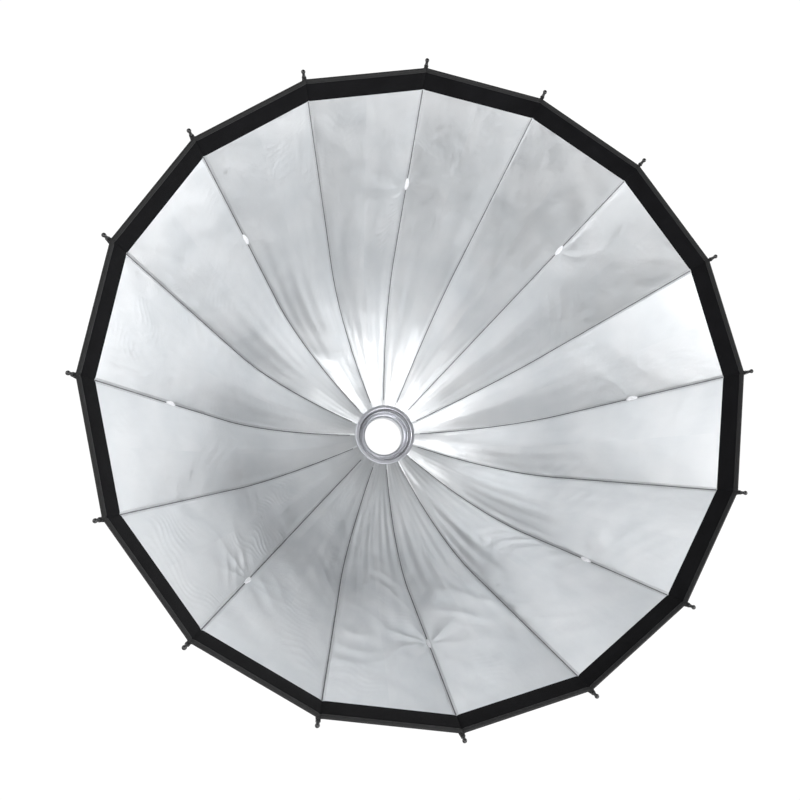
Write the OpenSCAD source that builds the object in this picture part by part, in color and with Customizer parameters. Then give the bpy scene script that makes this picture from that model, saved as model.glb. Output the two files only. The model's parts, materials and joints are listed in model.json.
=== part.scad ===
// Sixteen-rib umbrella softbox: a deep curved bowl of fabric on folding ribs.
// The axis of the bowl is Y. The bowl opens towards -Y, and +Z is up.
// The origin is on the axis, in the plane where the bayonet seats on the lamp.

/* [Canopy] */
// Radius of the rim, from the axis to a rib
rim_radius = 600; // [450:10:760]
// Depth of the bowl, from the rib pivots to the rim
canopy_depth = 700; // [560:10:820]
// Slope of a rib where it leaves the hub, from the plane of the hub
root_slope = 15; // [10:1:22]
// Slope of a rib at the rim, from the plane of the hub
rim_slope = 64.5; // [60:0.5:68]
// Thickness of the two layers of fabric together
fabric_t = 2.2; // [1:0.1:2.4]

/* [Ribs] */
// Diameter of a rib's rod
rod_d = 4.5; // [3:0.1:5]
// Distance from the middle of a rod to the inner face of the fabric
rod_offset = 5; // [5:0.1:7]
// Length of rod that stands out beyond the rim
tip_reach = 15; // [8:1:30]
// Diameter of the ball on a rib's end
tip_ball_d = 8; // [6:0.5:12]
// Width of the hinge block at a rib's root
block_w = 8; // [6:0.5:10]
// Length of the heel behind a rib's pivot
heel_l = 10; // [6:0.5:10]

/* [Hub] */
// Radius of the circle that the rib pivots lie on
pivot_r = 87; // [86.5:0.1:88]
// Distance of the rib pivots in front of the bayonet's seat
pivot_y = 29; // [29:0.5:31]
// Diameter of a hinge pin
pin_d = 4; // [3:0.1:4.5]
// Outer radius of the speed ring
ring_r = 92; // [91.5:0.1:94]
// Outer radius of the bright trim ring at the front
trim_r = 76; // [75:0.5:76.5]

/* [Bayonet insert] */
// Radius of the open bore
bore_r = 49; // [45:0.5:50]
// Outer radius of the insert's body
insert_r = 66; // [65:0.5:66.2]
// Outer radius of the three bayonet claws
claw_r = 63; // [60:0.5:65]

/* [Lock collar] */
// Thickness of the collar behind the rib heels
collar_t = 5; // [4:0.5:6]
// Outer diameter of a return spring
spring_d = 9; // [7:0.5:10]

/* [Lock knob] */
// Angle of the lock knob round the hub, from +X towards +Z
knob_angle = 213.75; // [33.75:45:348.75]
// Diameter of the knob
knob_d = 17; // [14:1:18]

/* [Hidden] */
rib_count = 16;
half_angle = 180 / rib_count;

// Gaps: running fit, free gap between moving parts, and gap beside each seam
fit = 0.05;
free = 0.3;
seam_gap = 0.4;

// Rib line: an arc from the pivot, then a straight run to the rim.
// Points are [distance from the axis, distance in front of the pivots].
pivot = [pivot_r, 0];
root_normal = [-sin(root_slope), cos(root_slope)];
arc_dr = sin(rim_slope) - sin(root_slope);
arc_df = cos(root_slope) - cos(rim_slope);
run = [rim_radius, canopy_depth] - pivot - rod_offset * root_normal;
det = arc_dr * sin(rim_slope) - arc_df * cos(rim_slope);
fabric_arc_r = (run[0] * sin(rim_slope) - run[1] * cos(rim_slope)) / det;
straight_l = (arc_dr * run[1] - arc_df * run[0]) / det;
rod_arc_r = fabric_arc_r + rod_offset;
arc_centre = pivot + rod_arc_r * root_normal;
fabric_start_slope = asin((ring_r + 3 - arc_centre[0]) / fabric_arc_r);

// Depths along Y of the hub's faces, from front to back
front_y = -34.5;
slot_back_y = -14;
channel_front_y = -24;
channel_r = [73, 86];
step_y = -10;
back_y = -4;
rear_plate_y = -1;
retainer_y = [-19.2, -14.2];
insert_lip_y = [-14, -10.1];
insert_lip_r = 69;
neck_r = 57;
neck_l = 12;
claw_t = 6;
hem_r = [70.5, 86.5];
hem_t = 1.5;
heel_t = 5;
collar_y = -23.2;
spring_count = 8;
spring_wire_d = 0.9;
spring_turns = 5;
screw_r = 1.5;
screw_circle_r = 89.2;
stud_r = 2.6;
stud_y = -7.2;

function rib_angle(n) = 90 - (n - 1) * 2 * half_angle;
function two_digits(n) = n < 10 ? str("0", n) : str(n);
function rib_name(n) = str("rib_", two_digits(n));
function gore_name(n, side) = str("gore_", two_digits(n), side > 0 ? "_left" : "_right");
function on_arc(slope, inset) =
    arc_centre + (rod_arc_r - inset) * [sin(slope), -cos(slope)];
function to_xy(p, squeeze = 1) = [p[0] * squeeze, -pivot_y - p[1]];

HARDWARE = ["bayonet_insert", "speed_ring", "front_trim_ring", "insert_retainer",
            "hub_hem", "hinge_pins", "lock_collar", "return_springs", "rear_plate",
            "plate_screws", "lock_knob", "insert_claws"];

// A ring about the Y axis, from y0 to y1
module ring(inner, outer, y0, y1) {
    translate([0, y1, 0])
        rotate([90, 0, 0])
            difference() {
                cylinder(r = outer, h = y1 - y0, $fn = 180);
                translate([0, 0, -1]) cylinder(r = inner, h = y1 - y0 + 2, $fn = 180);
            }
}

// A cylinder along +Y from y0 to y1, with its axis through [x, z] = [r, 0]
module y_rod(r, radius, y0, y1) {
    translate([r, y1, 0]) rotate([90, 0, 0]) cylinder(r = radius, h = y1 - y0, $fn = 40);
}

// Turn a shape made on the +X side to an angle round the axis
module at_angle(angle) {
    rotate([0, -angle, 0]) children();
}

module bayonet_insert() {
    color([0.60, 0.61, 0.64])
        difference() {
            union() {
                ring(bore_r, insert_r, insert_lip_y[0], 0);
                ring(bore_r, insert_lip_r, insert_lip_y[0], insert_lip_y[1]);
                ring(bore_r, neck_r, -1, neck_l);
            }
            // lead-in at the front of the bore
            translate([0, insert_lip_y[0] - 0.01, 0])
                rotate([-90, 0, 0])
                    cylinder(r1 = bore_r + 4, r2 = bore_r - 1, h = 5, $fn = 180);
        }
}

// Three claws that twist behind the lamp's bayonet, standing on the neck
module insert_claws() {
    claw_span = 38;
    color([0.52, 0.53, 0.56])
        for (a = [90, 210, 330])
            at_angle(a - claw_span / 2)
                translate([0, neck_l, 0])
                    rotate([90, 0, 0])
                        rotate_extrude(angle = claw_span, $fn = 180)
                            translate([neck_r, 0]) square([claw_r - neck_r, claw_t]);
}

module speed_ring() {
    slot_w = block_w + 2 * free;
    color([0.16, 0.16, 0.17])
        difference() {
            union() {
                ring(insert_lip_r + free, ring_r, front_y, back_y);
                ring(insert_r + free, ring_r - 2, step_y, back_y);
            }
            ring(channel_r[0], channel_r[1], channel_front_y, back_y + 1);
            for (n = [1:rib_count])
                at_angle(rib_angle(n)) {
                    translate([channel_r[0] + 1, front_y - 1, -slot_w / 2])
                        cube([ring_r, slot_back_y - front_y + 1, slot_w]);
                    translate([pivot_r, -pivot_y, -12])
                        cylinder(d = pin_d + 2 * fit, h = 24, $fn = 40);
                }
            for (k = [0:spring_count - 1])
                at_angle(half_angle + k * 360 / spring_count)
                    y_rod(screw_circle_r, screw_r + fit, -12, 0);
            at_angle(knob_angle)
                translate([insert_r - 1, stud_y, 0])
                    rotate([0, 90, 0])
                        cylinder(r = stud_r + fit, h = ring_r, $fn = 40);
        }
}

module front_trim_ring() {
    color([0.80, 0.81, 0.86])
        translate([0, front_y - hem_t, 0])
            rotate([90, 0, 0])
                rotate_extrude($fn = 180)
                    polygon([[67.5, 0], [trim_r, 0], [trim_r, 1], [trim_r - 1, 1.8],
                             [69, 1.8], [67.5, 1]]);
}

module insert_retainer() {
    color([0.70, 0.71, 0.76])
        difference() {
            ring(57.5, insert_lip_r + free, retainer_y[0], retainer_y[1]);
            for (k = [0:3])
                at_angle(45 + 90 * k) y_rod(63, 1.6, retainer_y[0] - 1, retainer_y[0] + 3);
        }
}

// Hem of the lining, clamped under the trim ring over the hinge slots
module hub_hem() {
    color([0.86, 0.87, 0.89])
        ring(hem_r[0], hem_r[1], front_y - hem_t, front_y);
}

module hinge_pins() {
    color([0.75, 0.75, 0.77])
        for (n = [1:rib_count])
            at_angle(rib_angle(n))
                translate([pivot_r, -pivot_y, -block_w])
                    cylinder(d = pin_d, h = 2 * block_w, $fn = 40);
}

module lock_collar() {
    color([0.55, 0.10, 0.08])
        ring(channel_r[0] + free, channel_r[1] - free, collar_y, collar_y + collar_t);
}

// One spring as a stack of closed turns between the collar and the rear plate
module return_springs() {
    start = collar_y + collar_t + spring_wire_d / 2 + 0.1;
    pitch = (back_y - spring_wire_d / 2 - 0.1 - start) / (spring_turns - 1);
    middle_r = (channel_r[0] + channel_r[1]) / 2;
    color([0.70, 0.70, 0.72])
        for (k = [0:spring_count - 1], turn = [0:spring_turns - 1])
            at_angle(half_angle + k * 360 / spring_count)
                translate([middle_r, start + turn * pitch, 0])
                    rotate([90, 0, 0])
                        rotate_extrude($fn = 24)
                            translate([(spring_d - spring_wire_d) / 2, 0])
                                circle(d = spring_wire_d, $fn = 16);
}

module rear_plate() {
    color([0.20, 0.20, 0.21])
        difference() {
            ring(insert_r + free, ring_r, back_y, rear_plate_y);
            for (k = [0:spring_count - 1])
                at_angle(half_angle + k * 360 / spring_count)
                    y_rod(screw_circle_r, screw_r + fit, back_y - 1, 1);
        }
}

module plate_screws() {
    color([0.72, 0.72, 0.74])
        for (k = [0:spring_count - 1])
            at_angle(half_angle + k * 360 / spring_count) {
                y_rod(screw_circle_r, screw_r, -11.5, rear_plate_y + 0.5);
                y_rod(screw_circle_r, 2.6, rear_plate_y, rear_plate_y + 0.9);
            }
}

// Thumb knob on a stud that presses on the insert and stops the ring turning
module lock_knob() {
    grip_start = ring_r + 3;
    grip_l = 18;
    color([0.10, 0.10, 0.11])
        at_angle(knob_angle)
            translate([0, stud_y - 1, 0]) {
                translate([insert_r + 0.5, 1, 0])
                    rotate([0, 90, 0])
                        cylinder(r = stud_r, h = grip_start + 1 - insert_r, $fn = 40);
                translate([grip_start, 1, 0])
                    rotate([0, 90, 0])
                        difference() {
                            cylinder(d = knob_d, h = grip_l, $fn = 72);
                            for (k = [0:11])
                                rotate([0, 0, 30 * k])
                                    translate([knob_d / 2 + 0.8, 0, 3])
                                        cylinder(r = 1.6, h = grip_l, $fn = 24);
                        }
            }
}

// A rib in its own plane: hinge block with heel, curved rod, straight rod and ball
module rib(n) {
    rod_start_slope = root_slope + 1;
    ball_at = straight_l + tip_reach;
    color([0.08, 0.08, 0.09])
        at_angle(rib_angle(n)) {
            difference() {
                translate([pivot_r, -pivot_y, 0])
                    rotate([0, 0, -root_slope]) {
                        translate([0, 0, -block_w / 2])
                            cylinder(r = 4.6, h = block_w, $fn = 48);
                        translate([-heel_l, -heel_t / 2, -block_w / 2])
                            cube([heel_l + 18, heel_t, block_w]);
                    }
                translate([pivot_r, -pivot_y, -block_w])
                    cylinder(d = pin_d + 2 * fit, h = 2 * block_w, $fn = 40);
            }
            translate(concat(to_xy(arc_centre), 0))
                rotate([0, 0, 90 - rim_slope])
                    rotate_extrude(angle = rim_slope - rod_start_slope, $fn = 180)
                        translate([rod_arc_r, 0]) circle(d = rod_d, $fn = 32);
            translate(concat(to_xy(on_arc(rim_slope, 0)), 0))
                rotate([0, 0, -rim_slope])
                    rotate([0, 90, 0]) {
                        cylinder(d = rod_d, h = ball_at, $fn = 32);
                        translate([0, 0, straight_l + 2]) cylinder(r = 4.2, h = 1.6, $fn = 32);
                        translate([0, 0, ball_at]) sphere(d = tip_ball_d, $fn = 48);
                    }
        }
}

// The fabric on one side of a rib, from the rib's seam to the middle of the gore.
// Every chord of a gore is square to its middle plane, so the panel is an extruded
// strip seen in that plane, cut by the plane of the seam.
module half_gore(n, side) {
    arc_steps = 9;
    inset_out = rod_offset - fabric_t;
    squeeze = cos(half_angle);
    rim_shift = straight_l * [cos(rim_slope), sin(rim_slope)];
    slope_step = (rim_slope - fabric_start_slope) / arc_steps;
    slopes = [for (i = [0:arc_steps]) fabric_start_slope + i * slope_step];
    outer = [for (s = slopes) to_xy(on_arc(s, inset_out), squeeze)];
    inner = [for (s = slopes) to_xy(on_arc(s, rod_offset), squeeze)];
    outer_rim = to_xy(on_arc(rim_slope, inset_out) + rim_shift, squeeze);
    inner_rim = to_xy(on_arc(rim_slope, rod_offset) + rim_shift, squeeze);
    back_inner = [for (i = [arc_steps:-1:0]) inner[i]];
    reach = 2 * rim_radius;
    color([0.86, 0.87, 0.89])
        at_angle(rib_angle(n) + side * half_angle)
            mirror([0, 0, side > 0 ? 1 : 0])
                intersection() {
                    linear_extrude(rim_radius)
                        polygon(concat(outer, [outer_rim, inner_rim], back_inner));
                    rotate([90, 0, 0])
                        linear_extrude(reach)
                            polygon([[2 * seam_gap / tan(half_angle) + 0.1, seam_gap],
                                     [reach, seam_gap],
                                     [reach, reach * tan(half_angle) - seam_gap]]);
                }
}

bayonet_insert();
insert_claws();
speed_ring();
front_trim_ring();
insert_retainer();
hub_hem();
hinge_pins();
lock_collar();
return_springs();
rear_plate();
plate_screws();
lock_knob();
for (n = [1:rib_count]) {
    rib(n);
    for (side = [1, -1]) {
        half_gore(n, side);
    }
}
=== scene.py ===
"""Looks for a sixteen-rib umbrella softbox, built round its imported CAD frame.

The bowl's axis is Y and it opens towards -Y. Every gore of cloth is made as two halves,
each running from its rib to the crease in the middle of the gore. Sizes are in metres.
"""
import json
import math

import bpy
import numpy as np
from mathutils import Matrix, Vector


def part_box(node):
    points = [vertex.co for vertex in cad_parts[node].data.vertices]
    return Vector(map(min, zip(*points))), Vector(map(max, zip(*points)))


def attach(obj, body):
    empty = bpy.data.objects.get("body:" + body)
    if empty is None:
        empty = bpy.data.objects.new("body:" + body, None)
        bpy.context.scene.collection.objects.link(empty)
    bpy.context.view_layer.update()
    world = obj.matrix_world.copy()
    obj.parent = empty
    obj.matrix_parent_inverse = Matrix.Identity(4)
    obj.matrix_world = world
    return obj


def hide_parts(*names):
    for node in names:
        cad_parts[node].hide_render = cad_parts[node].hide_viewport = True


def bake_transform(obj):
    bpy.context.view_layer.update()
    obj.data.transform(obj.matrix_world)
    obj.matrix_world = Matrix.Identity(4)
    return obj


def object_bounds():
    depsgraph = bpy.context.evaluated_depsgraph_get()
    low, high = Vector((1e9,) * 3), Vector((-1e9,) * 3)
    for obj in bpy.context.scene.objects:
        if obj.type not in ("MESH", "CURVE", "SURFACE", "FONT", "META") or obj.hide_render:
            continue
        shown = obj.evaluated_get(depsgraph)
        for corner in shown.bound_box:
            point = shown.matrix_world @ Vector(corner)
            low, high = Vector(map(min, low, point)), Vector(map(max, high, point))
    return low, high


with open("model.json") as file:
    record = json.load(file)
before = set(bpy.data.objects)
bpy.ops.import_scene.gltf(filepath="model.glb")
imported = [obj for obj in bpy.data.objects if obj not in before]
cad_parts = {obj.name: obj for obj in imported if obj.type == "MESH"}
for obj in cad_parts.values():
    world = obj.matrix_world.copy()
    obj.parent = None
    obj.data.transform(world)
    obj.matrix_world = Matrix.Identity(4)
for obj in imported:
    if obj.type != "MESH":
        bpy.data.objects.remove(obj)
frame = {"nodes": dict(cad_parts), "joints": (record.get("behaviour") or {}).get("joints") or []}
cad_low, cad_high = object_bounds()

# ---------------------------------------------------------------- sizes

RIB_COUNT = 16
HALF = math.pi / RIB_COUNT
RIM_RADIUS = 0.600
CANOPY_DEPTH = 0.700
ROOT_SLOPE = math.radians(15)
RIM_SLOPE = math.radians(64.5)
ROD_OFFSET = 0.005
FABRIC_T = 0.0022
BAND_WIDTH = 0.0440
BINDING_WIDTH = 0.0065
LOOP_AT = 0.621
LINING_START_R = 0.0885
SHELL_START_R = 0.0955
ROW_STEP = 0.0034
COLUMNS = 27
SEAM_CROWDING = 1.4  # how much the mesh columns crowd towards the rib
HEM_INNER = 0.0705
HEM_OUTER = 0.0912
CAMERA_AT = (-0.3236, -2.1184, -0.3221)
FOCAL_LENGTH_MM = 37.07
CAMERA_SHIFT = (-0.075, -0.0124)
WHITE_STRENGTH = 1.03
TAB_HALF = 0.0050
TAB_TIP_HALF = 0.0026
# Half width of the grey seam strip that paints shade along each seam.
SEAM_SHADE_HALF = 0.0011

fold_joint = next(j for j in frame["joints"] if j["name"] == "rib_01_fold")
PIVOT_R, PIVOT_Y = fold_joint["pos_m"][2], fold_joint["pos_m"][1]


def solve_profile():
    """The arc that leaves the hub at the root slope and runs straight on to the rim."""
    normal = np.array([-math.sin(ROOT_SLOPE), math.cos(ROOT_SLOPE)])
    run = np.array([RIM_RADIUS - PIVOT_R, CANOPY_DEPTH]) - ROD_OFFSET * normal
    arc_r = math.sin(RIM_SLOPE) - math.sin(ROOT_SLOPE)
    arc_f = math.cos(ROOT_SLOPE) - math.cos(RIM_SLOPE)
    det = arc_r * math.sin(RIM_SLOPE) - arc_f * math.cos(RIM_SLOPE)
    radius = (run[0] * math.sin(RIM_SLOPE) - run[1] * math.cos(RIM_SLOPE)) / det
    straight = (arc_r * run[1] - arc_f * run[0]) / det
    centre = np.array([PIVOT_R, 0]) + (radius + ROD_OFFSET) * normal
    return radius, straight, centre


ARC_R, STRAIGHT, CENTRE = solve_profile()
ARC_L = ARC_R * (RIM_SLOPE - ROOT_SLOPE)
LENGTH = ARC_L + STRAIGHT
FORWARD = np.array([0.0, -1.0, 0.0])


def start_of(radius):
    """Distance along the cloth at which it is that far from the axis, near the hub."""
    return ARC_R * (math.asin((radius - CENTRE[0]) / ARC_R) - ROOT_SLOPE)


def profile(s):
    """Distance from the axis, distance in front of the pivots, and slope, at s along a rib."""
    slope = np.minimum(ROOT_SLOPE + np.asarray(s, float) / ARC_R, RIM_SLOPE)
    beyond = np.maximum(np.asarray(s, float) - ARC_L, 0)
    r = CENTRE[0] + ARC_R * np.sin(slope) + beyond * math.cos(RIM_SLOPE)
    f = CENTRE[1] - ARC_R * np.cos(slope) + beyond * math.sin(RIM_SLOPE)
    return r, f, slope


def rib_angle(n):
    return math.pi / 2 - (n - 1) * 2 * HALF


def radial(angle):
    return np.array([math.cos(angle), 0.0, math.sin(angle)])


def clockwise(angle):
    """Unit step round the axis, clockwise as seen from the open front."""
    return np.array([math.sin(angle), 0.0, -math.cos(angle)])


# ---------------------------------------------------------------- wrinkles

# How strongly each gore shows each kind of wrinkle, from 0 to 1, clockwise from the top rib.
# They change the cloth's shape only.
STREAKS = [.6, .7, .5, .2, .2, .5, 1., .9, .8, .4, .2, .2, .3, .3, .5, .5]
PUCKERS = [.6, .5, .7, .4, .3, .4, .5, .6, .7, 1., .8, .4, .8, .9, 1., .7]
RIPPLES = [.1, .1, .3, .1, .1, .1, .2, .3, .3, .3, 1., .2, .4, .2, .3, .4]
FANS = [.2, .2, .4, .2, .1, .2, .3, .9, 1., .2, .6, .2, .2, .2, .1, .3]
DRAGS = [.1, .1, .3, .2, .2, .4, .8, 1., .9, .4, .5, .3, .3, .2, .2, .2]


def waves(seed, x, y, x_rates, y_rates, count=7):
    """A smooth random pattern from -1 to 1: a seeded sum of waves with those rates along x and y."""
    rng = np.random.default_rng(seed)
    total = np.zeros(np.broadcast(x, y).shape)
    for _ in range(count):
        across = rng.uniform(*x_rates) * rng.choice([-1, 1])
        along = rng.uniform(*y_rates)
        phase = rng.uniform(0, 2 * math.pi)
        total += np.sin(2 * math.pi * (across * x + along * y) + phase)
    return total / math.sqrt(count * 2)


def crease(value, sharpness=0.25):
    """Turns a wave into soft ridges that stand where the wave crosses zero."""
    return 1 - np.sqrt(value * value + sharpness * sharpness)


def sag(s, v):
    """The gore's middle is pulled in towards the axis, most where the ribs curve most."""
    depth = 0.0075 * np.exp(-((s - 0.30) / 0.20) ** 2)
    return depth * np.sin(math.pi * v) ** 2


def streaks(gore, s, v, width):
    """Long soft folds that run from the hub to the rim and fade towards it."""
    pattern = waves(gore, v, s, (1.5, 6), (0, 1.6))
    sharp = crease(waves(gore + 40, v, s, (1, 3.5), (0.3, 2.2)), 0.18)
    fade = np.exp(-((s - 0.25) / 0.33) ** 2)
    return (0.010 * pattern + 0.007 * sharp) * np.minimum(width, 0.15) * fade


def puckers(gore, s, near, side):
    """Short slanting gathers along the seam's stitches."""
    seed = 100 + 2 * gore + side
    group = 0.5 + 0.5 * waves(seed, 0 * s, s, (0, 1), (3, 9), 5)
    wander = 2.6 * waves(seed + 50, near * 6, s, (0.3, 1), (4, 9), 5)
    ripple = crease(np.sin(2 * math.pi * (s + 0.55 * near) / 0.0165 + wander), 0.3)
    reach = 0.007 + 0.013 * np.clip(group, 0, 1)
    return 0.0010 * np.clip(group, 0, 1.2) * ripple * np.exp(-near / reach)


def ripples(gore, s, v):
    """Small waves that lie square to the ribs, in loose patches."""
    patch = np.clip(waves(gore + 200, v, s, (0.3, 1.4), (1, 3)) + 0.15, 0, 1)
    wander = 3.6 * waves(gore + 230, v, s, (0.8, 3), (2, 6))
    drift = 0.6 + 0.4 * waves(gore + 260, v, s, (1, 4), (4, 11))
    ripple = crease(np.sin(2 * math.pi * s / 0.036 + wander), 0.3)
    return 0.0012 * patch * drift * ripple


def fans(gore, s, near, side):
    """Folds that spread from the loop on this seam. Only odd ribs have a loop."""
    rib = gore if side == 0 else gore % RIB_COUNT + 1
    if rib % 2 == 0:
        return 0.0 * s
    along = s - LOOP_AT
    distance = np.hypot(along, near) + 1e-6
    turn = np.arctan2(near, along)
    wander = 0.5 * waves(300 + rib + side, near * 5, s * 3, (0.5, 1.5), (0.5, 1.5), 4)
    fold = crease(np.sin(3.2 * turn + 2.2 * wander + rib), 0.16)
    grow = (distance / 0.05) * np.exp(1 - distance / 0.05) * 0.6 + 0.5 * np.exp(-distance / 0.16)
    start = 1 - np.exp(-((distance / 0.02) ** 2))
    return 0.0024 * fold * grow * start


def drags(gore, s, v, width):
    """Broad slanting folds where the cloth is pulled towards one seam."""
    slant = s + (0.45 if gore % 2 else 0.75) * v * width
    wander = 2.4 * waves(gore + 500, v, s, (0.2, 1.2), (1, 3))
    patch = np.clip(0.2 + waves(gore + 530, v, s, (0.3, 1.2), (1, 3)), 0, 1)
    middle = np.exp(-((s - 0.52) / 0.2) ** 2)
    return 0.0040 * patch * middle * crease(np.sin(2 * math.pi * slant / 0.13 + wander), 0.35)


def folds(gore, s, v):
    """How far the cloth stands in from its flat chord, at s along the rib and v across the gore."""
    r = profile(s)[0]
    width = 2 * r * math.sin(HALF)
    left, right = v * width, (1 - v) * width
    near = np.minimum(left, right)
    i = gore - 1
    height = sag(s, v) + STREAKS[i] * streaks(gore, s, v, width)
    height = height + RIPPLES[i] * ripples(gore, s, v) + DRAGS[i] * drags(gore, s, v, width)
    for side, distance in ((0, left), (1, right)):
        height = height + PUCKERS[i] * puckers(gore, s, distance, side)
        height = height + FANS[i] * fans(gore, s, distance, side)
    height = height + 0.0006 * waves(gore + 400, v * width * 12, s * 12, (0.2, 1), (0.2, 1))
    taut_rim = 1 - 0.93 * np.exp(-((np.maximum(LENGTH - 0.03 - s, 0) / 0.05) ** 2))
    held = 1 - np.exp(-((near / 0.007) ** 2))
    groove = 0.0014 * np.exp(-((near / 0.0026) ** 2))
    return height * held * taut_rim - groove


def gore_points(gore, s, v, lift=0.0):
    """Points of the cloth: v runs from 0 at rib number gore to 1 at the next rib clockwise."""
    s, v, lift = np.broadcast_arrays(np.asarray(s, float), np.asarray(v, float), lift)
    r, f, slope = profile(s)
    middle = rib_angle(gore) - HALF
    across = (v - 0.5) * 2 * r * math.sin(HALF)
    lean = np.arctan2(np.sin(slope), np.cos(slope) * math.cos(HALF))
    stand = folds(gore, s, v) + lift
    level = r * math.cos(HALF) - np.sin(lean) * stand
    ahead = f + np.cos(lean) * stand
    flat = level[..., None] * radial(middle) + across[..., None] * clockwise(middle)
    return flat + ahead[..., None] * FORWARD + np.array([0, PIVOT_Y, 0])


def gore_normals(gore, s, v, lift=0.0):
    """Unit normals that point into the bowl, from steps of a millimetre along and across."""
    r = profile(s)[0]
    step_s, step_v = 0.001, 0.001 / (2 * r * math.sin(HALF))
    along = gore_points(gore, s + step_s, v, lift) - gore_points(gore, s - step_s, v, lift)
    over = gore_points(gore, s, v + step_v, lift) - gore_points(gore, s, v - step_v, lift)
    normal = np.cross(over, along)
    return normal / np.linalg.norm(normal, axis=-1, keepdims=True)


# ---------------------------------------------------------------- meshes

def new_object(name, mesh):
    obj = bpy.data.objects.new(name, mesh)
    bpy.context.scene.collection.objects.link(obj)
    return obj


def grid_faces(rows, columns, flip):
    index = np.arange(rows * columns).reshape(rows, columns)
    quads = np.stack([index[:-1, :-1], index[:-1, 1:], index[1:, 1:], index[1:, :-1]], -1)
    quads = quads.reshape(-1, 4)
    return quads[:, ::-1] if flip else quads


def grid_piece(name, points, material, flip=False, uv=None, normals=None):
    """A smooth sheet through rows and columns of points, with cloth coordinates in metres."""
    rows, columns = points.shape[:2]
    quads = grid_faces(rows, columns, flip)
    mesh = bpy.data.meshes.new(name)
    mesh.from_pydata(points.reshape(-1, 3).tolist(), [], quads.tolist())
    mesh.shade_smooth()
    if uv is not None:
        layer = mesh.uv_layers.new(name="cloth")
        layer.data.foreach_set("uv", uv.reshape(-1, 2)[quads.ravel()].ravel())
    if normals is not None:
        mesh.normals_split_custom_set_from_vertices(normals.reshape(-1, 3).tolist())
    mesh.materials.append(material)
    return new_object(name, mesh)


def lathe(name, outline, material, segments=192):
    """A closed outline of (radius, y) points turned about the bowl's axis."""
    angles = np.linspace(0, 2 * math.pi, segments, endpoint=False)
    loop = np.array(outline)
    around = np.stack([np.cos(angles), np.zeros(segments), np.sin(angles)], -1)
    points = loop[None, :, 0, None] * around[:, None, :] + loop[None, :, 1, None] * np.array([0, 1, 0])
    count = len(loop)
    a = np.arange(segments)[:, None] * count + np.arange(count)[None, :]
    b = np.arange(segments)[:, None] * count + (np.arange(count)[None, :] + 1) % count
    c, d = (b + count) % (segments * count), (a + count) % (segments * count)
    quads = np.stack([a, b, c, d], -1).reshape(-1, 4)
    mesh = bpy.data.meshes.new(name)
    mesh.from_pydata(points.reshape(-1, 3).tolist(), [], quads.tolist())
    mesh.shade_smooth()
    mesh.set_sharp_from_angle(angle=math.radians(35))
    mesh.materials.append(material)
    return new_object(name, mesh)


def rib_point(n, s, across=0.0, inward=0.0):
    """A point by rib n's seam: across is clockwise, inward is into the bowl, from the lining's face."""
    s = np.asarray(s, float)
    r, f, slope = profile(s)
    angle = rib_angle(n)
    level = r - np.sin(slope) * inward
    ahead = f + np.cos(slope) * inward
    point = np.multiply.outer(level, radial(angle)) + np.multiply.outer(ahead, FORWARD)
    return point + np.multiply.outer(across + 0 * level, clockwise(angle)) + np.array([0, PIVOT_Y, 0])


# ---------------------------------------------------------------- materials

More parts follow.
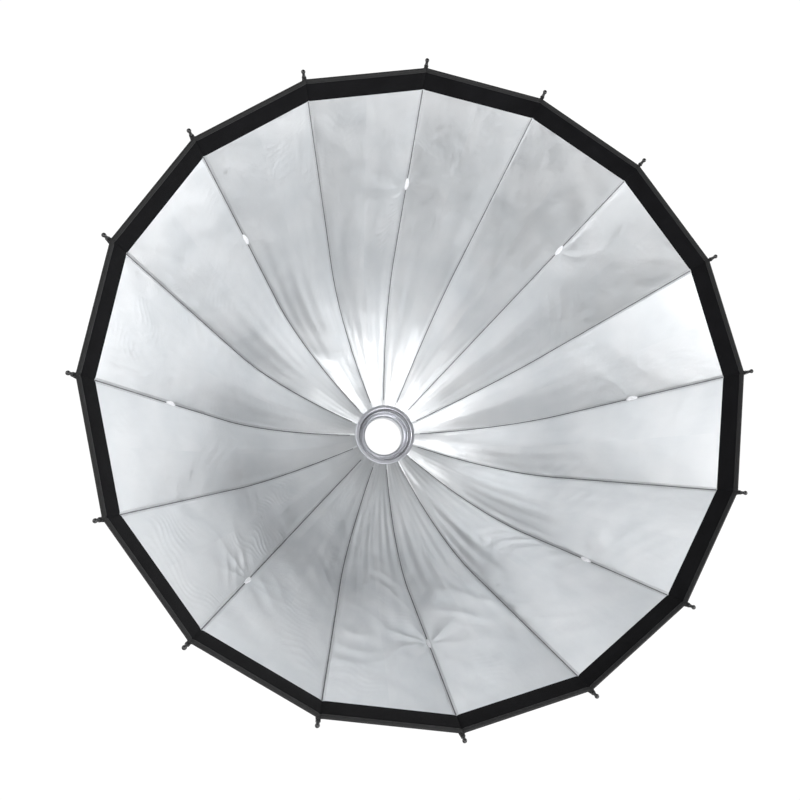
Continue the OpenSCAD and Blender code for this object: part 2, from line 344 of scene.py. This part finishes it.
class Look:
    """A material being built, with short calls for the nodes used here."""

    def __init__(self, name, roughness=0.5, metallic=0.0):
        self.material = bpy.data.materials.new(name)
        self.material.use_nodes = True
        self.tree = self.material.node_tree
        self.shader = self.tree.nodes["Principled BSDF"]
        self.shader.inputs["Roughness"].default_value = roughness
        self.shader.inputs["Metallic"].default_value = metallic

    def set(self, **values):
        for name, value in values.items():
            self.shader.inputs[name.replace("_", " ")].default_value = value

    def feed(self, name, output):
        self.tree.links.new(output, self.shader.inputs[name])

    def node(self, kind, inputs=None, **settings):
        made = self.tree.nodes.new(kind)
        for key, value in settings.items():
            setattr(made, key, value)
        for key, value in (inputs or {}).items():
            if isinstance(value, bpy.types.NodeSocket):
                self.tree.links.new(value, made.inputs[key])
            else:
                made.inputs[key].default_value = value
        return made

    def cloth(self):
        return self.node("ShaderNodeUVMap", uv_map="cloth").outputs[0]

    def place(self):
        return self.node("ShaderNodeTexCoord").outputs["Object"]

    def scaled(self, vector, x, y, z):
        return self.node("ShaderNodeMapping", {"Vector": vector, "Scale": (x, y, z)}).outputs[0]

    def noise(self, vector, scale, detail=3.0, distortion=0.0):
        inputs = {"Vector": vector, "Scale": scale, "Detail": detail, "Distortion": distortion}
        return self.node("ShaderNodeTexNoise", inputs).outputs[0]

    def stripes(self, vector, period, direction):
        """Soft stripes with that period, in metres, across the X or Y of the vector."""
        inputs = {"Vector": vector, "Scale": math.pi / 10 / period, "Distortion": 0.0}
        return self.node("ShaderNodeTexWave", inputs, bands_direction=direction).outputs["Fac"]

    def math(self, operation, a, b=0.5):
        return self.node("ShaderNodeMath", {0: a, 1: b}, operation=operation).outputs[0]

    def spread(self, value, low, high, from_low=0.3, from_high=0.7):
        inputs = {"Value": value, "From Min": from_low, "From Max": from_high,
                  "To Min": low, "To Max": high}
        return self.node("ShaderNodeMapRange", inputs).outputs[0]

    def mix(self, factor, a, b):
        made = self.node("ShaderNodeMix", data_type="RGBA")
        for socket, value in ((made.inputs[0], factor), (made.inputs[6], a), (made.inputs[7], b)):
            if isinstance(value, bpy.types.NodeSocket):
                self.tree.links.new(value, socket)
            else:
                socket.default_value = value
        return made.outputs[2]

    def bump(self, height, distance, normal=None):
        inputs = {"Height": height, "Distance": distance, "Strength": 1.0}
        if normal is not None:
            inputs["Normal"] = normal
        return self.node("ShaderNodeBump", inputs).outputs[0]

    def weave(self, vector, period, distance, normal=None):
        """Over-and-under threads as a bump."""
        warp = self.stripes(vector, period, "X")
        weft = self.stripes(vector, period, "Y")
        return self.bump(self.math("MULTIPLY", warp, weft), distance, normal)

    def rounded(self, radius=0.0006):
        """Normals as if sharp edges were rounded to that radius."""
        return self.node("ShaderNodeBevel", {"Radius": radius}, samples=4).outputs[0]

    def edge_mask(self):
        """1 along sharp edges, where a finish wears first."""
        true_normal = self.node("ShaderNodeNewGeometry").outputs["Normal"]
        inputs = {0: self.rounded(0.0012), 1: true_normal}
        same = self.node("ShaderNodeVectorMath", inputs, operation="DOT_PRODUCT").outputs["Value"]
        return self.spread(same, 1.0, 0.0, 0.86, 0.995)


def grey(value, blue=1.0):
    return (value, value, value * blue, 1.0)


def lining_look():
    """Metallised woven lining: silver with a soft glare, fine crinkles and visible threads."""
    look = Look("lining_silver", metallic=0.92)
    cloth = look.cloth()
    broad = look.noise(cloth, 9, 2)
    fine = look.noise(look.scaled(cloth, 1, 0.35, 1), 55, 3, 0.6)
    tint = look.mix(look.spread(broad, 0, 1), (0.69, 0.71, 0.725, 1), (0.76, 0.77, 0.78, 1))
    threads = look.stripes(cloth, 0.0021, "Y")
    look.feed("Base Color", look.mix(look.spread(threads, 0, 0.12, 0, 1), tint, grey(0.50, 1.04)))
    look.feed("Roughness", look.spread(fine, 0.36, 0.48))
    crinkle = look.bump(look.noise(look.scaled(cloth, 1, 0.6, 1), 34, 4, 0.5), 0.0004)
    crumple = look.bump(fine, 0.00028, crinkle)
    look.feed("Normal", look.weave(cloth, 0.0016, 0.00007, crumple))
    look.set(Anisotropic=0.25)
    return look.material


def shell_look():
    """Black nylon: a tight weave with a faint sheen and a little dust."""
    look = Look("shell_black", roughness=0.6)
    cloth = look.cloth()
    dust = look.noise(cloth, 14, 5)
    look.feed("Base Color", look.mix(look.spread(dust, 0, 1), grey(0.010, 1.1), grey(0.022, 1.08)))
    look.feed("Roughness", look.spread(look.noise(cloth, 60, 3), 0.48, 0.68))
    crinkle = look.bump(look.noise(cloth, 40, 4, 0.6), 0.0010)
    look.feed("Normal", look.weave(cloth, 0.0012, 0.00012, crinkle))
    look.set(Sheen_Weight=0.25, Sheen_Roughness=0.45)
    return look.material


def band_look():
    """Hook-and-loop pile: deep black fuzz with a short nap."""
    look = Look("band_black", roughness=0.95)
    cloth = look.cloth()
    nap = look.noise(cloth, 900, 4, 1.0)
    patch = look.noise(cloth, 22, 3)
    look.feed("Base Color", look.mix(look.spread(patch, 0, 1), grey(0.0022, 1.25), grey(0.0042, 1.2)))
    look.feed("Normal", look.bump(nap, 0.0006, look.bump(patch, 0.0012)))
    look.set(Sheen_Weight=0.02, Sheen_Roughness=0.6, Specular_IOR_Level=0.1)
    return look.material


def binding_look():
    """Grosgrain tape folded over the rim: ribbed across its length."""
    look = Look("binding_tape", roughness=0.72)
    cloth = look.cloth()
    ribs = look.stripes(cloth, 0.0018, "X")
    look.feed("Base Color", look.mix(ribs, grey(0.006, 1.05), grey(0.014, 1.03)))
    look.feed("Normal", look.bump(ribs, 0.00035, look.bump(look.noise(cloth, 90, 3), 0.0006)))
    look.set(Sheen_Weight=0.05, Sheen_Roughness=0.5, Specular_IOR_Level=0.3)
    return look.material


def ribbon_look():
    """White satin ribbon of the loops."""
    look = Look("loop_white", roughness=0.42)
    place = look.place()
    tone = look.noise(place, 120, 3)
    look.feed("Base Color", look.mix(look.spread(tone, 0, 1), (0.80, 0.81, 0.84, 1), (0.93, 0.93, 0.96, 1)))
    look.feed("Normal", look.bump(look.noise(place, 1300, 2), 0.0002))
    look.set(Sheen_Weight=0.3, Sheen_Roughness=0.4)
    return look.material


def seam_shade_look():
    """Grey woven strip for the seams between the gores: painted shade that darkens each seam's line."""
    look = Look("seam_shade_strip", roughness=0.7)
    cloth = look.cloth()
    look.feed("Base Color", look.mix(look.noise(cloth, 70, 3), grey(0.09, 1.05), grey(0.24, 1.05)))
    look.feed("Normal", look.bump(look.stripes(cloth, 0.0012, "Y"), 0.0002))
    return look.material


def thread_look():
    look = Look("seam_thread", roughness=0.55)
    look.feed("Base Color", look.mix(look.noise(look.place(), 900, 2), grey(0.42), grey(0.60, 1.03)))
    look.set(Sheen_Weight=0.2)
    return look.material


def turned_metal(name, dark, light, low, high, rings=2600.0):
    """Metal turned on a lathe: fine rings about the axis, uneven polish and lighter edges."""
    look = Look(name, metallic=1.0)
    place = look.place()
    squares = look.node("ShaderNodeSeparateXYZ", {0: place})
    x2 = look.math("MULTIPLY", squares.outputs[0], squares.outputs[0])
    z2 = look.math("MULTIPLY", squares.outputs[2], squares.outputs[2])
    radius = look.math("SQRT", look.math("ADD", x2, z2))
    around = look.node("ShaderNodeCombineXYZ", {0: radius, 1: squares.outputs[1]})
    lines = look.noise(around.outputs[0], rings, 3)
    wear = look.noise(place, 60, 5)
    edge = look.edge_mask()
    tone = look.mix(look.spread(lines, 0, 1), dark, light)
    look.feed("Base Color", look.mix(look.math("MULTIPLY", edge, 0.6), tone, grey(0.93, 1.01)))
    look.feed("Roughness", look.spread(wear, low, high))
    look.feed("Normal", look.bump(lines, 0.00004, look.rounded()))
    look.set(Anisotropic=0.35)
    return look.material


def coated_metal(name, base, worn, low, high):
    """Powder-coated or blacked metal with a fine orange peel and bare edges."""
    look = Look(name, metallic=0.1)
    place = look.place()
    peel = look.noise(place, 900, 2)
    smudge = look.noise(place, 45, 4)
    edge = look.math("MULTIPLY", look.edge_mask(), look.spread(smudge, 0.1, 0.9))
    look.feed("Base Color", look.mix(edge, base, worn))
    look.feed("Roughness", look.spread(smudge, low, high))
    look.feed("Normal", look.bump(peel, 0.00005, look.rounded()))
    return look.material


def rod_look():
    """Black spring-steel rods and moulded tips."""
    look = Look("rib_black", roughness=0.38)
    place = look.place()
    tone = look.noise(place, 130, 4)
    look.feed("Base Color", look.mix(look.spread(tone, 0, 1), grey(0.006), grey(0.014, 1.05)))
    look.feed("Roughness", look.spread(tone, 0.28, 0.46))
    look.feed("Normal", look.bump(look.noise(place, 1500, 2), 0.00004, look.rounded()))
    look.set(Coat_Weight=0.15, Coat_Roughness=0.3)
    return look.material


def moulded(name, dark, light, roughness):
    """Moulded nylon or rubber with a fine grain."""
    look = Look(name, roughness=roughness)
    place = look.place()
    look.feed("Base Color", look.mix(look.spread(look.noise(place, 70, 4), 0, 1), dark, light))
    look.feed("Normal", look.bump(look.noise(place, 1400, 3), 0.0001, look.rounded()))
    return look.material


silver_cloth = lining_look()
black_nylon = shell_look()
pile = band_look()
tape = binding_look()
ribbon = ribbon_look()
thread = thread_look()
# Grey seam strip: painted shade along each seam between the gores.
seam_shade_grey = seam_shade_look()
rod_black = rod_look()
ring_silver = turned_metal("ring_silver", (0.70, 0.71, 0.77, 1), (0.83, 0.84, 0.89, 1), 0.30, 0.44)
insert_metal = turned_metal("insert_metal", (0.50, 0.51, 0.54, 1), (0.66, 0.67, 0.70, 1), 0.26, 0.40)
spring_steel = turned_metal("spring_steel", (0.50, 0.50, 0.52, 1), (0.68, 0.68, 0.70, 1), 0.2, 0.34, 900)
ring_black = coated_metal("ring_black", grey(0.018, 1.1), grey(0.30), 0.42, 0.6)
collar_red = moulded("collar_red", (0.22, 0.018, 0.012, 1), (0.36, 0.035, 0.02, 1), 0.5)
knob_rubber = moulded("knob_rubber", grey(0.011), grey(0.024), 0.62)

NODE_LOOKS = {
    "bayonet_insert": insert_metal, "insert_claws": insert_metal, "speed_ring": ring_black,
    "front_trim_ring": ring_silver, "insert_retainer": ring_silver, "hinge_pins": spring_steel,
    "lock_collar": collar_red, "return_springs": spring_steel, "rear_plate": ring_black,
    "plate_screws": spring_steel, "lock_knob": knob_rubber,
}


def dress_nodes():
    """Gives every CAD node that stays its material."""
    for name, node in frame["nodes"].items():
        material = rod_black if name.startswith("rib_") else NODE_LOOKS.get(name)
        if material is None:
            continue
        for slot in node.material_slots:
            slot.material = material


# ---------------------------------------------------------------- cloth

def side_frame(n, side):
    """The gore beside rib n on that side, and v at a share u of the way to the gore's middle."""
    if side == "right":
        return n, lambda u: u / 2
    return (n - 2) % RIB_COUNT + 1, lambda u: 1 - u / 2


def bend_with_gore(piece):
    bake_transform(piece)


def half_panel(name, n, side, s, lift, material, facing_in):
    """Half a gore of cloth over rows s, each row with its own lift off the chord surface."""
    gore, v_of = side_frame(n, side)
    u = np.linspace(0, 1, COLUMNS) ** SEAM_CROWDING
    rows, v = np.meshgrid(s, v_of(u), indexing="ij")
    lifts = np.broadcast_to(np.asarray(lift, float)[..., None], rows.shape)
    points = gore_points(gore, rows, v, lifts)
    normals = gore_normals(gore, rows, v, lifts) if np.ptp(lifts) == 0 else None
    if normals is not None and not facing_in:
        normals = -normals
    distance = profile(rows)[0] * math.sin(HALF) * u[None, :]
    uv = np.stack([distance * (1 if side == "right" else -1) + 0.37 * n, rows], -1)
    flip = (side == "left") == facing_in
    return grid_piece(name, points, material, flip, uv, normals)


def lining(n, side):
    start = start_of(LINING_START_R)
    rows = np.arange(start, LENGTH - 0.002, ROW_STEP)
    piece = half_panel(f"lining_{n:02d}_{side}", n, side, rows, 0 * rows, silver_cloth, True)
    bend_with_gore(piece)
    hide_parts(f"gore_{n:02d}_{side}")


def shell(n, side):
    """The black outside of the gore, which laps round the rim as far as the binding."""
    start = start_of(SHELL_START_R)
    rows = np.append(np.arange(start, LENGTH - 0.004, 0.009), LENGTH - 0.001)
    piece = half_panel(f"shell_{n:02d}_{side}", n, side, rows, 0 * rows - FABRIC_T, black_nylon, False)
    bend_with_gore(piece)


def strip_rows(outline):
    """Rows and lifts of a strip from an outline of (distance from the rim, lift) points."""
    return np.array([LENGTH + a for a, _ in outline]), np.array([b for _, b in outline])


def band(n, side):
    """Hook-and-loop band inside the rim, with a rolled inner edge."""
    edge = -BAND_WIDTH
    outline = [(edge, 0.0001), (edge + 0.0001, 0.0009), (edge + 0.0006, 0.0015), (edge + 0.0016, 0.0018),
               (edge + 0.0034, 0.0015), (edge + 0.0048, 0.0017), (edge + 0.011, 0.0020),
               (edge + 0.020, 0.0021), (edge + 0.030, 0.0020), (-0.009, 0.0017), (-0.005, 0.0014)]
    rows, lifts = strip_rows(outline)
    piece = half_panel(f"rim_band_{n:02d}_{side}", n, side, rows, lifts, pile, True)
    bend_with_gore(piece)


def binding(n, side):
    """Tape folded over the rim's edge, from the band inside to the shell outside."""
    inner, outer = 0.0022, -FABRIC_T - 0.0006
    middle, half = (inner + outer) / 2, (inner - outer) / 2
    outline = [(-BINDING_WIDTH, inner - 0.0007), (-BINDING_WIDTH + 0.0002, inner - 0.0001)]
    outline += [(-BINDING_WIDTH + 0.002, inner + 0.0002), (-0.002, inner + 0.0001)]
    turns = np.linspace(80, -80, 9)
    outline += [(0.0022 * math.cos(math.radians(a)) - 0.0004, middle + half * math.sin(math.radians(a)))
                for a in turns]
    outline += [(-0.002, outer - 0.0001), (-BINDING_WIDTH + 0.002, outer - 0.0002)]
    outline += [(-BINDING_WIDTH + 0.0002, outer), (-BINDING_WIDTH, -FABRIC_T)]
    rows, lifts = strip_rows(outline)
    piece = half_panel(f"binding_{n:02d}_{side}", n, side, rows, lifts, tape, True)
    bend_with_gore(piece)


def sleeve(n):
    """Pocket of black nylon that holds the rod against the outside of the shell."""
    rows = np.append(np.arange(0.030, LENGTH - 0.012, 0.008), LENGTH - 0.010)
    section = [(-0.0085, FABRIC_T + 0.0003), (-0.0062, FABRIC_T + 0.0005), (-0.0043, 0.0036)]
    section += [(0.0034 * math.cos(a), ROD_OFFSET + 0.0034 * math.sin(a))
                for a in np.radians(np.linspace(190, -10, 13))]
    section += [(0.0043, 0.0036), (0.0062, FABRIC_T + 0.0005), (0.0085, FABRIC_T + 0.0003)]
    across = np.array([p[0] for p in section])
    outward = np.array([p[1] for p in section])
    s, a = np.meshgrid(rows, across, indexing="ij")
    o = np.broadcast_to(outward, s.shape)
    ruck = 0.0005 * waves(500 + n, a * 90, s, (0.2, 1), (12, 34)) * np.clip((o - 0.0028) / 0.002, 0, 1)
    points = np.empty(s.shape + (3,))
    for i in range(s.shape[0]):
        for k in range(s.shape[1]):
            points[i, k] = rib_point(n, s[i, k], a[i, k], -o[i, k] - ruck[i, k])
    length = np.concatenate([[0], np.cumsum(np.hypot(np.diff(across), np.diff(outward)))])
    uv = np.stack([np.broadcast_to(length, s.shape) + 0.21 * n, s], -1)
    piece = grid_piece(f"rod_sleeve_{n:02d}", points, black_nylon, True, uv)
    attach(piece, f"rib_{n:02d}")


def stitch_boxes(centres, along, across, up, length, width, height):
    """One mesh of small rounded dashes: eight corners each, narrowed at the ends."""
    corners = []
    for end in (-1, 1):
        for x, z in ((-0.5, 0), (-0.25, 1), (0.25, 1), (0.5, 0)):
            corners.append((end * 0.5, x, z))
    corners = np.array(corners)
    count = len(centres)
    points = (centres[:, None, :] + corners[None, :, 0, None] * length * along[:, None, :]
              + corners[None, :, 1, None] * width * across[:, None, :]
              + corners[None, :, 2, None] * height * up[:, None, :])
    faces = [(0, 1, 2, 3), (7, 6, 5, 4), (0, 4, 5, 1), (1, 5, 6, 2), (2, 6, 7, 3), (3, 7, 4, 0)]
    quads = (np.array(faces)[None] + 8 * np.arange(count)[:, None, None]).reshape(-1, 4)
    return points.reshape(-1, 3), quads


def seam_stitches(n):
    """Two rows of lockstitch, one each side of the seam on the lining."""
    pitch, length, offset = 0.0052, 0.0036, 0.0042
    s = np.arange(start_of(0.10), LENGTH - BAND_WIDTH - 0.006, pitch)
    parts, faces, total = [], [], 0
    for side in ("left", "right"):
        gore, v_of = side_frame(n, side)
        half_width = profile(s)[0] * math.sin(HALF)
        v = v_of(np.minimum(offset / half_width, 1))
        centre = gore_points(gore, s, v, -0.00012)
        up = gore_normals(gore, s, v)
        along = gore_points(gore, s + 0.002, v, 0) - gore_points(gore, s - 0.002, v, 0)
        along /= np.linalg.norm(along, axis=-1, keepdims=True)
        points, quads = stitch_boxes(centre, along, np.cross(up, along), up, length, 0.0007, 0.0005)
        parts.append(points)
        faces.append(quads + total)
        total += len(points)
    mesh = bpy.data.meshes.new(f"seam_stitches_{n:02d}")
    mesh.from_pydata(np.concatenate(parts).tolist(), [], np.concatenate(faces).tolist())
    mesh.shade_smooth()
    mesh.materials.append(thread)
    piece = new_object(mesh.name, mesh)
    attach(piece, f"rib_{n:02d}")


def seam_shade_strip(n):
    """A grey strip along the seam between two gores: painted shade that darkens the seam's groove."""
    s = np.arange(start_of(0.0890), LENGTH - BAND_WIDTH + 0.001, 0.004)
    across = np.array([-1.0, -0.6, 0.0, 0.6, 1.0]) * SEAM_SHADE_HALF
    rise = np.array([-0.0012, -0.0006, -0.0004, -0.0006, -0.0012])
    rows, offset = np.meshgrid(s, across, indexing="ij")
    level = np.broadcast_to(rise, rows.shape) + 0.00015 * waves(600 + n, offset, rows, (0, 1), (20, 60))
    points = rib_point(n, rows, offset, level)
    uv = np.stack([offset + 0.05 * n, rows], -1)
    piece = grid_piece(f"seam_shade_strip_{n:02d}", points, seam_shade_grey, False, uv)
    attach(piece, f"rib_{n:02d}")


def loop(n):
    """White ribbon tab sewn into the seam: two leaves that meet in a slit, pointed at both ends."""
    rows, half_length, half_width = 25, 0.0165, 0.0048
    share = np.linspace(-1, 1, rows)
    section = np.array([(-1, 0.0), (-0.94, 0.55), (-0.7, 0.9), (-0.35, 1.0), (-0.1, 0.85), (0, 0.45),
                        (0.1, 0.85), (0.35, 1.0), (0.7, 0.9), (0.94, 0.55), (1, 0.0)])
    spread = half_width * np.clip(1 - np.abs(share) ** 2.3, 0.04, 1)
    rise = 0.0008 + 0.0024 * np.clip(1 - share ** 2, 0, 1) ** 0.6
    points = np.empty((rows, len(section), 3))
    for i in range(rows):
        for k, (x, z) in enumerate(section):
            bend = 0.0006 * math.sin(2.2 * share[i] + n)
            points[i, k] = rib_point(n, LOOP_AT + half_length * share[i], x * spread[i] + bend,
                                     z * rise[i] - 0.0012)
    piece = grid_piece(f"loop_{n:02d}", points, ribbon, False)
    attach(piece, f"rib_{n:02d}")


def hub_hem():
    """Ring of lining under the trim ring, in line with the gores round it."""
    trim_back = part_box("front_trim_ring")[1].y
    radii = np.linspace(HEM_INNER, HEM_OUTER, 14)
    angles = np.linspace(0, 2 * math.pi, RIB_COUNT * 24 + 1)
    r, a = np.meshgrid(radii, angles, indexing="ij")
    turn = (math.pi / 2 - a) / (2 * HALF)
    gore = np.floor(turn % RIB_COUNT).astype(int) + 1
    v = turn % 1
    loose = np.clip((r - 0.0765) / 0.012, 0, 1)
    seam = np.exp(-((np.minimum(v, 1 - v) * 2 * r * HALF / 0.0015) ** 2))
    chord = math.cos(HALF) / np.cos((v - 0.5) * 2 * HALF)
    reach = r * (1 - loose + loose * chord)
    y = trim_back - 0.00015 - 0.0006 * loose + 0.0007 * loose * seam
    y = y + np.clip((r - 0.0885) / 0.0027, 0, 1) * 0.0022
    points = np.stack([reach * np.cos(a), y, reach * np.sin(a)], -1)
    normals = np.empty_like(points)
    for number in range(1, RIB_COUNT + 1):
        mine = gore == number
        s = start_of(0.0905) + 0 * v[mine]
        normals[mine] = gore_normals(number, s, np.clip(v[mine], 0.02, 0.98))
    uv = np.stack([a * 0.08, r], -1)
    piece = grid_piece("hub_hem_cloth", points, silver_cloth, True, uv, normals)
    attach(piece, "hub")
    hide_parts("hub_hem")


# ---------------------------------------------------------------- small hardware

def tip_parts(n):
    """Moulded ferrule on the rod's end, and the webbing tab that ties the rim's corner to it."""
    angle = rib_angle(n)
    along = math.cos(RIM_SLOPE) * radial(angle) + math.sin(RIM_SLOPE) * FORWARD
    outward = math.sin(RIM_SLOPE) * radial(angle) - math.cos(RIM_SLOPE) * FORWARD
    beside = clockwise(angle)
    foot = rib_point(n, LENGTH, 0.0, -ROD_OFFSET)
    outline = [(0.0022, 0.0045), (0.0028, 0.0048), (0.0031, 0.0056), (0.0031, 0.0076), (0.0028, 0.0086),
               (0.0026, 0.0100), (0.0028, 0.0106), (0.0028, 0.0116), (0.0022, 0.0122)]
    turns = np.linspace(0, 2 * math.pi, 25)
    points = np.array([[foot + along * h + r * (math.cos(t) * outward + math.sin(t) * beside)
                        for t in turns] for r, h in outline])
    ferrule = grid_piece(f"tip_ferrule_{n:02d}", points, rod_black, False)
    ferrule.data.set_sharp_from_angle(angle=math.radians(40))
    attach(ferrule, f"rib_{n:02d}")
    rise = [(-0.020, 0.0029), (-0.016, -0.0013), (-0.006, -0.0016), (0.001, -0.0016), (0.0042, -0.0010),
            (0.0050, 0.0030), (0.0042, 0.0082), (0.000, 0.0090), (-0.010, 0.0090), (-0.018, 0.0088)]
    across = np.linspace(-1, 1, 7)
    halves = [np.interp(h, (-0.016, 0.0), (TAB_HALF, TAB_TIP_HALF)) for h, o in rise]
    tab = np.array([[foot + along * h + (o - ROD_OFFSET + 0.0012) * outward
                     + beside * half * w - outward * 0.0006 * w ** 2
                     for w in across] for (h, o), half in zip(rise, halves)])
    uv = np.stack(np.meshgrid(np.linspace(0, 0.06, len(rise)), across * TAB_HALF, indexing="ij"), -1)
    piece = grid_piece(f"corner_tab_{n:02d}", tab, tape, False, uv)
    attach(piece, f"rib_{n:02d}")


def hub_rings():
    """Rounded bead on the retainer, and a thin bead round the bore, both turned."""
    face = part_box("insert_retainer")[0].y
    outline = [(0.0610, face + 0.0002), (0.0610, face - 0.0010), (0.0616, face - 0.0019),
               (0.0626, face - 0.0022), (0.0636, face - 0.0019), (0.0642, face - 0.0010),
               (0.0642, face + 0.0002)]
    bead = lathe("retainer_bead", outline, ring_silver)
    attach(bead, "hub")
    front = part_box("bayonet_insert")[0].y
    outline = [(0.0530, front + 0.0004), (0.0532, front - 0.0006), (0.0540, front - 0.0011),
               (0.0558, front - 0.0011), (0.0566, front - 0.0006), (0.0568, front + 0.0004)]
    lip = lathe("bore_bead", outline, ring_silver)
    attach(lip, "mount")


# ---------------------------------------------------------------- studio

def softbox(name, azimuth, elevation, power, size=0.8, distance=2.4):
    """A square lamp that faces the bowl. Azimuth 0 is straight in front of it, 90 at its right."""
    lamp = bpy.data.lights.new(name, "AREA")
    lamp.shape, lamp.size, lamp.energy = "SQUARE", size, power
    a, e = math.radians(azimuth), math.radians(elevation)
    way = Vector((math.sin(a) * math.cos(e), -math.cos(a) * math.cos(e), math.sin(e)))
    obj = bpy.data.objects.new(name, lamp)
    bpy.context.scene.collection.objects.link(obj)
    obj.location = Vector((0.0, -0.35, 0.0)) + distance * way
    obj.rotation_mode = "QUATERNION"
    obj.rotation_quaternion = way.to_track_quat("Z", "Y")
    obj.visible_camera = False
    return obj


def studio_world():
    """White where it is seen directly. Its light comes from beyond the bowl, and lamps light the front."""
    world = bpy.data.worlds.new("studio")
    bpy.context.scene.world = world
    world.use_nodes = True
    tree = world.node_tree
    coord = tree.nodes.new("ShaderNodeTexCoord")
    parts = tree.nodes.new("ShaderNodeSeparateXYZ")
    share = tree.nodes.new("ShaderNodeMapRange")
    share.inputs["From Min"].default_value = -0.35
    share.inputs["From Max"].default_value = 0.45
    mix = tree.nodes.new("ShaderNodeMix")
    mix.data_type = "RGBA"
    mix.inputs[6].default_value = (0.0, 0.0, 0.0, 1)
    mix.inputs[7].default_value = (1.0, 1.0, 1.0, 1)
    tree.links.new(coord.outputs["Generated"], parts.inputs[0])
    tree.links.new(parts.outputs[1], share.inputs["Value"])
    path = tree.nodes.new("ShaderNodeLightPath")
    seen = tree.nodes.new("ShaderNodeMath")
    seen.operation = "MAXIMUM"
    tree.links.new(share.outputs[0], seen.inputs[0])
    tree.links.new(path.outputs["Is Camera Ray"], seen.inputs[1])
    tree.links.new(seen.outputs[0], mix.inputs[0])
    background = tree.nodes["Background"]
    tree.links.new(mix.outputs[2], background.inputs["Color"])
    background.inputs["Strength"].default_value = WHITE_STRENGTH


def floor():
    """Pale floor that melts into the background away from the object."""
    radius, level = 5.0, cad_low.z - 1.6
    turns = np.linspace(0, 2 * math.pi, 97)
    radii = np.linspace(0.001, radius, 12)
    points = np.array([[(r * math.cos(t), r * math.sin(t), level) for t in turns] for r in radii])
    look = Look("floor_pale", roughness=0.9)
    place = look.place()
    look.feed("Base Color", look.mix(look.noise(place, 3, 3), grey(0.86), grey(0.90)))
    distance = look.node("ShaderNodeVectorMath", {0: place}, operation="LENGTH").outputs["Value"]
    look.feed("Alpha", look.spread(distance, 1.0, 0.0, 2.4, 4.8))
    piece = grid_piece("floor", points, look.material, False)


def camera():
    """The photograph's viewing angle: from slightly left of and below the axis."""
    yaw, pitch, roll = math.radians(14.25), math.radians(11.5), math.radians(-3.36)
    forward = Vector((math.sin(yaw) * math.cos(pitch), math.cos(yaw) * math.cos(pitch), math.sin(pitch)))
    right = forward.cross(Vector((0, 0, 1))).normalized()
    up = right.cross(forward)
    turned_right = math.cos(roll) * right + math.sin(roll) * up
    turned_up = -math.sin(roll) * right + math.cos(roll) * up
    axes = Matrix((turned_right, turned_up, -forward)).transposed()
    data = bpy.data.cameras.new("camera")
    data.sensor_width, data.lens = 36.0, FOCAL_LENGTH_MM
    data.shift_x, data.shift_y = CAMERA_SHIFT
    obj = bpy.data.objects.new("camera", data)
    bpy.context.scene.collection.objects.link(obj)
    obj.matrix_world = Matrix.Translation(CAMERA_AT) @ axes.to_4x4()
    bpy.context.scene.camera = obj


# ---------------------------------------------------------------- build

camera()
studio_world()
floor()
dress_nodes()
hub_hem()
hub_rings()
for number in range(1, RIB_COUNT + 1):
    for half_side in ("left", "right"):
        lining(number, half_side)
        shell(number, half_side)
        band(number, half_side)
        binding(number, half_side)
    sleeve(number)
    seam_stitches(number)
    seam_shade_strip(number)
    tip_parts(number)
    if number % 2 == 1:
        loop(number)

softbox("side_right", 70, 0, 45)
softbox("low_right", 30, -40, 25)
softbox("front", 0, -20, 20)
softbox("side_left", -70, 0, 20)
softbox("front_left", -35, 10, 20)
softbox("low_left", -30, -50, 10)
softbox("high_left", -70, 40, 5)

bpy.context.scene.view_settings.view_transform = "Standard"
